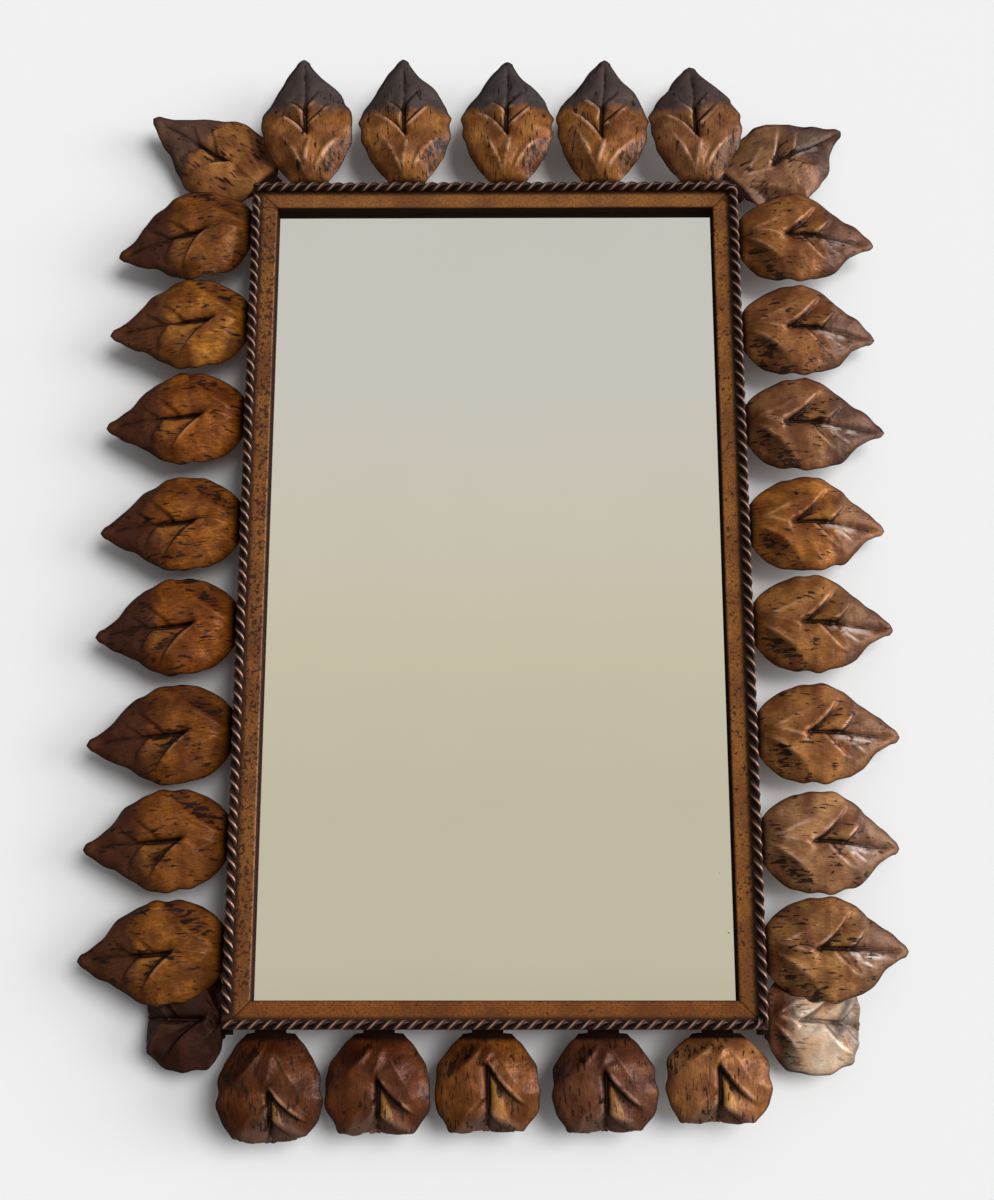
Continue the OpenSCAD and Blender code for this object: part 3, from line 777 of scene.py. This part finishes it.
def board_look():
    """Brown hardboard with short fibres."""
    look = Look("board")
    where = look.place()
    fibre = look.noise(look.stretch(where, (1.0, 1.0, 0.35)), 0.0012, 4, 0.7)
    cloud = look.noise(where, 0.06, 3)
    base = look.mix(look.scale(fibre, 0.1, 0.9), colour("#5f4229"), colour("#8a6642"))
    base = look.mix(look.step(cloud, 0.3, 0.7), base, look.mix(0.5, base, colour("#4d3320")))
    look.set(Base_Color=base, Roughness=0.85, Normal=look.bump(fibre, 0.5, 0.0003))
    return look.material


def dress(piece, material):
    piece.data.materials.clear()
    piece.data.materials.append(material)


# Leaves on the frame

# By row: how dark the tip is and its tone, which are dark patina with painted shade that differs with how the
# row faces and, in the bottom row, a paler painted reflection; how ragged its border, how rosy the lacquer,
# how many brush marks are added and how strongly the lens is painted lit
TIP_DARK = {"top": 1.0, "left": 0.85, "right": 0.6, "bottom": 0.75, "corner": 0.8}
TIP_TONE = {"top": "#463c3c", "left": "#46241c", "right": "#4a3330", "bottom": "#6a4e44", "corner": "#4a3431"}
TIP_RAG = {"top": 1.0, "left": 1.0, "right": 1.0, "bottom": 0.35, "corner": 0.6}
TINT = {"top": 0.2, "left": 0.1, "right": 0.5, "bottom": 0.35, "corner": 0.6}
TINT_SPREAD = 0.25
STROKES = {"top": 0.0, "left": 0.02, "right": 0.01, "bottom": 0.02, "corner": 0.01}
LIT = {"top": 0.2, "left": 0.3, "right": 0.3, "bottom": 0.9, "corner": 0.1}

# Red, green and blue of single leaves, times those of the material: painted light and shade from where each
# leaf hangs and how it faces, with the lacquer's own differences
LEAF_LIGHT_AND_TONE = {
    "leaf_top_2": (1.1, 1.14, 1.07), "leaf_top_3": (1.08, 1.09, 1.1),
    "leaf_top_4": (1.07, 1.1, 1.16), "leaf_top_5": (0.91, 0.96, 1.19),
    "leaf_left_1": (0.75, 0.67, 0.6), "leaf_left_2": (1.18, 1.17, 0.9),
    "leaf_left_3": (1.06, 0.87, 0.49), "leaf_left_4": (0.95, 0.8, 0.5),
    "leaf_left_5": (0.9, 0.69, 0.36), "leaf_left_6": (0.72, 0.58, 0.4),
    "leaf_left_7": (0.79, 0.65, 0.35), "leaf_left_8": (0.88, 0.8, 0.55),
    "leaf_right_1": (1.1, 1.13, 1.15), "leaf_right_2": (1.02, 1.05, 1.14),
    "leaf_right_3": (0.94, 1.01, 1.1), "leaf_right_4": (1.38, 1.36, 1.0),
    "leaf_right_5": (1.24, 1.32, 1.19), "leaf_right_6": (1.33, 1.43, 1.45),
    "leaf_right_7": (1.51, 1.98, 3.2), "leaf_right_8": (1.26, 1.52, 2.2),
    "leaf_bottom_1": (0.38, 0.26, 0.21), "leaf_bottom_2": (0.45, 0.31, 0.25),
    "leaf_bottom_3": (0.77, 0.66, 0.57), "leaf_bottom_4": (0.5, 0.43, 0.69),
    "leaf_bottom_5": (1.29, 1.39, 1.7),
    "leaf_corner_bottom_left": (0.14, 0.07, 0.115), "leaf_corner_bottom_right": (0.42, 0.34, 0.36),
    "leaf_corner_top_left": (1.3, 1.42, 1.45), "leaf_corner_top_right": (1.0, 1.27, 1.9)}
# Leaves painted with a pale copper reflection towards their tip
SHEEN_LEAVES = ["leaf_corner_bottom_right"]
LEAF_SEED = 11
LOOK_SEED = 500


def dress_leaf(number, name, place, material):
    """Makes one leaf and stores what the material reads, with a place of its own in the noise."""
    piece, flat, masks = make_leaf(name, place, number + LEAF_SEED)
    rng = np.random.default_rng(number + LOOK_SEED)
    row = name.split("_")[1]
    points = len(flat)
    shift = rng.uniform(0, 400, 2)
    tint = np.clip(TINT[row] + rng.uniform(-1, 1) * TINT_SPREAD, 0, 1)
    tip = np.clip(TIP_DARK[row] * rng.uniform(0.85, 1.1), 0, 1)
    store(piece, "leaf_at", np.concatenate([flat + shift, np.full((points, 1), 3.0 * number)], 1))
    for mask in masks:
        store(piece, mask, masks[mask])
    same = {"tint": tint, "tip": tip, "tip_rag": TIP_RAG[row], "lit": LIT[row], "strokes": STROKES[row]}
    for key, value in same.items():
        store(piece, key, np.full(points, value))
    store(piece, "painted_sheen", ease(masks["share"], 0.14, 0.42) * (name in SHEEN_LEAVES))
    store(piece, "tip_tone", np.tile(colour(TIP_TONE[row])[:3], (points, 1)))
    store(piece, "shade", np.tile(LEAF_LIGHT_AND_TONE.get(name, (1.0, 1.0, 1.0)), (points, 1)))
    dress(piece, material)


leaf_material = leaf_look()
for number, (name, place) in enumerate(leaf_places().items()):
    dress_leaf(number, name, place, leaf_material)


# Twisted wire: two strands laid round each other, in millimetres

STRAND_R = 1.55
LAY_R = 1.27
WIRE_R = 2.82
WIRE_GAP = 0.15
TURN_LEN = 15
STEPS_PER_TURN = 22
SIDES = 12
CORNER_R = 5
CORNER_STEPS = 13
END_INSET = 0.6

# Where in its turn each wire starts, in radians
ROUND_PHASE = 0.4
SIDE_PHASE = 1.9


def wire_path(corners, radius, depth):
    """Evenly spaced distances, points and directions along a line with round corners, given in X and Z."""
    corners = np.array(corners, float)
    line = [corners[0]]
    for before, corner, after in zip(corners, corners[1:], corners[2:]):
        back, on = before - corner, after - corner
        back, on = back / np.linalg.norm(back), on / np.linalg.norm(on)
        centre = corner + radius * (back + on)
        line += [centre - radius * (on * math.cos(a) + back * math.sin(a))
                 for a in np.linspace(0, math.pi / 2, CORNER_STEPS)]
    line = np.insert(line + [corners[-1]], 1, depth, axis=1)
    reach = np.concatenate([[0], np.cumsum(np.linalg.norm(np.diff(line, axis=0), axis=1))])
    at = np.arange(0, reach[-1], TURN_LEN / STEPS_PER_TURN)
    points = np.stack([np.interp(at, reach, values) for values in line.T], 1)
    direction = np.gradient(points, axis=0)
    return at, points, direction / np.linalg.norm(direction, axis=1, keepdims=True)


def make_wire(name, corners, replaces, phase):
    """Two strands laid round each other along the path, with rounded ends."""
    at, middle, ahead = wire_path(corners, CORNER_R, FACE_Y - WIRE_R - WIRE_GAP)
    count = len(at)
    toward = np.array([0, -1, 0])
    left = ahead[:, ::-1] * (-1, 0, 1)
    ends = np.minimum(at, at[-1] - at)
    size = np.sqrt(np.clip(1 - (1 - np.clip(ends / STRAND_R, 0, 1)) ** 2, 0.02, 1))
    pitch_slope = 2 * math.pi * LAY_R / TURN_LEN
    around = 2 * math.pi * np.arange(SIDES) / SIDES
    points, faces = [], []
    for strand in range(2):
        turn = (phase + strand * math.pi + 2 * math.pi * at / TURN_LEN)[:, None]
        out = toward * np.cos(turn) + left * np.sin(turn)
        along = ahead + pitch_slope * (left * np.cos(turn) - toward * np.sin(turn))
        along /= np.linalg.norm(along, axis=1, keepdims=True)
        third = np.cross(along, out)
        spokes = np.cos(around)[:, None] * out[:, None] + np.sin(around)[:, None] * third[:, None]
        rings = (middle + LAY_R * out)[:, None] + STRAND_R * size[:, None, None] * spokes
        points.append(rings.reshape(-1, 3))
        faces += tube_faces(count, SIDES, strand * count * SIDES)
    piece = new_piece(name, np.concatenate(points) * MM, faces, replaces)
    store(piece, "out", np.tile(np.cos(around), 2 * count))
    return piece


wire_material = wire_look()
wire_x = FRAME_W / 2 - WIRE_R
wire_top = MIDDLE_Z + FRAME_H / 2 - WIRE_R
wire_bottom = MIDDLE_Z - FRAME_H / 2 + WIRE_R
wire_end = END_INSET - FRAME_W / 2
round_path = [(wire_end, wire_top), (wire_x, wire_top), (wire_x, wire_bottom), (wire_end, wire_bottom)]
side_path = [(-wire_x, wire_bottom + 2 * WIRE_R), (-wire_x, wire_top - 2 * WIRE_R)]
round_wire = make_wire("wire_round", round_path, ["wire_top", "wire_right", "wire_bottom"], ROUND_PHASE)
side_wire = make_wire("wire_side", side_path, ["wire_left"], SIDE_PHASE)
dress(round_wire, wire_material)
dress(side_wire, wire_material)


# Rails

RAIL_ROUND = 0.5
BACK_ROUND = 0.2
BEVEL = 0.8
BEVEL_LIP = 0.25
BEVEL_ROUND = 0.08
FACE_FROM = 1.5
FACE_TO = RAIL_W - 1.6
MITRE_GROOVE = 0.35
RAIL_STATIONS = 60

# How far the uneven face lies behind the solid's, and the height and length of its waves and ripples
RAIL_SINK = 0.15
RAIL_WAVE = 0.12
RAIL_WAVE_LEN = 37
RAIL_RIPPLE = 0.08
RAIL_RIPPLE_LEN = 13

# How many specks each rail has, and how its colour is scaled in red, green and blue from the material's
RAIL_WORN = {"rail_top": 0.1, "rail_bottom": 0.2, "rail_left": 0.9, "rail_right": 0.6}
RAIL_SHADE = {"rail_top": (1.12, 1.2, 1.25), "rail_bottom": (0.88, 0.78, 0.6),
              "rail_left": (0.95, 1.0, 1.0), "rail_right": (1.28, 1.33, 1.15)}


def rail_outline():
    """The rail's section as (inward, depth, frontness), from the outer front edge on."""
    r = RAIL_ROUND
    arc = [(r - r * math.cos(a), r - r * math.sin(a), math.sin(a)) for a in np.linspace(0, math.pi / 2, 4)]
    face = [(w, 0.0, 1.0) for w in np.linspace(FACE_FROM, FACE_TO, 8)]
    bevel = [(RAIL_W - BEVEL - BEVEL_LIP, 0.0, 1.0), (RAIL_W - BEVEL, 0.06, 1.0),
             (RAIL_W - BEVEL_ROUND, BEVEL - BEVEL_ROUND, 0.7), (RAIL_W, BEVEL + BACK_ROUND, 0.0)]
    inside = [(RAIL_W, RAIL_D - BACK_ROUND, 0.0), (RAIL_W - BACK_ROUND, RAIL_D, 0.0)]
    outside = [(BACK_ROUND, RAIL_D, 0.0), (0.0, RAIL_D - BACK_ROUND, 0.2)]
    return arc + face + bevel + inside + outside


def make_rail(name, length, turn, offset, number):
    """One mitred rail, a little uneven, with a groove where its end meets the next one."""
    rng = np.random.default_rng(number)
    outline = rail_outline()
    points, front, inward = [], [], []
    knots = [0, MITRE_GROOVE] + list(np.linspace(3, length / 2, RAIL_STATIONS // 2))
    stations = knots + [length - k for k in reversed(knots[:-1])]
    phases = rng.uniform(0, 6, 2)
    a = math.radians(turn)
    for s in stations:
        at_mitre = min(s, length - s) < MITRE_GROOVE / 2
        for w, d, f in outline:
            scale = (length - 2 * w) / length
            x = (s - length / 2) * scale
            wave = RAIL_WAVE * math.sin(s / RAIL_WAVE_LEN + phases[0])
            wave += RAIL_RIPPLE * math.sin(s / RAIL_RIPPLE_LEN + w / 5 + phases[1])
            groove = MITRE_GROOVE if at_mitre and d < RAIL_D / 2 else 0.0
            depth = min(max(d + (RAIL_SINK + wave) * f + groove, 0.02), RAIL_D)
            z = -w
            points.append((x * math.cos(a) - z * math.sin(a) + offset[0], FACE_Y + depth,
                           x * math.sin(a) + z * math.cos(a) + offset[1] + MIDDLE_Z))
            front.append(f * (0.3 if at_mitre else 1.0))
            inward.append(w)
    faces = tube_faces(len(stations), len(outline), flip=True)
    piece = new_piece(name + "_bar", np.array(points) * MM, faces, [name])
    store(piece, "front", front)
    store(piece, "inward", inward)
    store(piece, "shade", np.tile(RAIL_SHADE[name], (len(front), 1)))
    store(piece, "worn", np.full(len(front), RAIL_WORN[name]))
    return piece


rail_material = rail_look()
rails = [("rail_top", FRAME_W, 0, (0, FRAME_H / 2)), ("rail_bottom", FRAME_W, 180, (0, -FRAME_H / 2)),
         ("rail_left", FRAME_H, 90, (-FRAME_W / 2, 0)), ("rail_right", FRAME_H, -90, (FRAME_W / 2, 0))]
for number, (name, length, turn, offset) in enumerate(rails):
    dress(make_rail(name, length, turn, offset, number), rail_material)


# Glass, board and iron at the back keep their solids

dress(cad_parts["mirror_glass"], glass_look())
dress(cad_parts["backing_board"], board_look())
iron_material = iron_look()
for name in ("tray_top", "tray_bottom", "tray_left", "tray_right", "board_clips", "hanging_plate"):
    dress(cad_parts[name], iron_material)


# Wall, light and camera, in metres

WALL_GAP = 0.004
WALL_HALF = 6.0
PALE = colour("#f1f1f1")

# The room that metal and glass reflect, from below to above and from left to right, and the soft fill light,
# from what faces away from it to what faces it
ROOM_TONES = [(0.0, colour("#8a8578")), (0.42, colour("#aea78c")), (0.51, colour("#c8c0ab")),
              (0.556, colour("#c7c0ac")), (0.6, colour("#cec6ae")), (0.646, colour("#d0c9bc")),
              (0.69, colour("#cdcbc3")), (0.75, colour("#c9c9c3")), (0.84, colour("#5a5a5c")),
              (1.0, colour("#3c3c40"))]
SIDE_TONES = [(0.0, (0.16, 0.16, 0.18, 1)), (0.3, (0.55, 0.55, 0.57, 1)), (0.36, (1, 1, 1, 1)),
              (0.7, (1, 1, 1, 1)), (1.0, (1.3, 1.3, 1.3, 1))]
FILL_TONES = [(0.0, (0.05, 0.05, 0.053, 1)), (0.5, (0.17, 0.17, 0.17, 1)), (1.0, (0.55, 0.55, 0.55, 1))]
FILL_FROM = (0.8, -0.3, 0.5)


def make_wall():
    """A pale wall behind the mirror that takes its shadow and is clear when seen from behind."""
    mesh = bpy.data.meshes.new("wall")
    w = WALL_HALF
    mesh.from_pydata([(-w, WALL_GAP, -w), (w, WALL_GAP, -w), (w, WALL_GAP, w), (-w, WALL_GAP, w)], [],
                     [[0, 1, 2, 3]])
    wall = bpy.data.objects.new("wall", mesh)
    bpy.context.scene.collection.objects.link(wall)
    look = Look("wall_paint")
    tree = look.tree
    look.set(Base_Color=colour("#f4f4f4"), Roughness=0.9, Specular_IOR_Level=0.0)
    clear = look.node("BsdfTransparent")
    behind = look.node("NewGeometry").outputs["Backfacing"]
    both = look.node("MixShader", {0: behind, 1: look.shader.outputs[0], 2: clear.outputs[0]})
    tree.links.new(both.outputs[0], tree.nodes["Material Output"].inputs["Surface"])
    mesh.materials.append(look.material)
    wall.visible_shadow = False
    wall.visible_diffuse = False
    wall.visible_glossy = False


make_wall()


def ramp(tree, value, stops):
    """The stops' colours along the value, which runs from -1 to 1."""
    share = add_node(tree, "MapRange", {"Value": value, "From Min": -1.0, "From Max": 1.0}).outputs["Result"]
    made = add_node(tree, "ValToRGB", {"Fac": share})
    ends = made.color_ramp.elements
    for position, tone in stops[1:-1]:
        ends.new(position).color = tone
    ends[0].position, ends[0].color = stops[0]
    ends[-1].position, ends[-1].color = stops[-1]
    return made.outputs["Color"]


def make_world():
    """Pale to the camera, a room to what metal and glass reflect, and a soft fill to the rest."""
    world = bpy.data.worlds.new("room")
    bpy.context.scene.world = world
    world.use_nodes = True
    tree = world.node_tree
    tree.nodes.clear()

    generated = add_node(tree, "TexCoord").outputs["Generated"]
    toward = add_node(tree, "SeparateXYZ", {"Vector": generated})
    room = ramp(tree, toward.outputs["Z"], ROOM_TONES)
    sides = ramp(tree, toward.outputs["X"], SIDE_TONES)
    seen = mix_colours(tree, 1.0, room, sides, "MULTIPLY")
    facing = add_node(tree, "VectorMath", {0: generated, 1: FILL_FROM}, operation="DOT_PRODUCT")
    fill = ramp(tree, facing.outputs["Value"], FILL_TONES)

    plain, mirrored, pale = (add_node(tree, "Background", {"Color": tone, "Strength": 1.0}).outputs[0]
                             for tone in (fill, seen, PALE))
    path = add_node(tree, "LightPath")
    lit = add_node(tree, "MixShader", {0: path.outputs["Is Glossy Ray"], 1: plain, 2: mirrored})
    shown = add_node(tree, "MixShader", {0: path.outputs["Is Camera Ray"], 1: lit.outputs[0], 2: pale})
    add_node(tree, "OutputWorld", {"Surface": shown.outputs[0]})


make_world()


def make_sun(name, toward, strength, spread, mirrored):
    """A soft lamp far away, shining from the given direction."""
    lamp = bpy.data.lights.new(name, "SUN")
    lamp.energy = strength
    lamp.angle = math.radians(spread)
    thing = bpy.data.objects.new(name, lamp)
    thing.rotation_euler = Vector(toward).to_track_quat("Z", "Y").to_euler()
    thing.visible_glossy = mirrored
    bpy.context.scene.collection.objects.link(thing)


make_sun("window", toward=(0.9, -0.4, 0.06), strength=1.45, spread=30, mirrored=True)
make_sun("room", toward=(0.5, -0.85, 0.2), strength=1.9, spread=34, mirrored=False)

# The camera fitted to the photo
CAMERA_AT = (0.0067, -0.9762, -0.4765)
CAMERA_AIM = (-0.00543, 0.97259, 0.23242)
FOCAL_PX = 1620
PHOTO_LONG_SIDE_PX = 1200
SENSOR = 36.0
camera = bpy.data.cameras.new("camera")
camera.sensor_width = SENSOR
camera.lens = SENSOR * FOCAL_PX / PHOTO_LONG_SIDE_PX
camera_piece = bpy.data.objects.new("camera", camera)
camera_piece.location = CAMERA_AT
camera_piece.rotation_euler = Vector(CAMERA_AIM).to_track_quat("-Z", "Y").to_euler()
bpy.context.scene.collection.objects.link(camera_piece)
bpy.context.scene.camera = camera_piece
bpy.context.scene.view_settings.view_transform = "Standard"
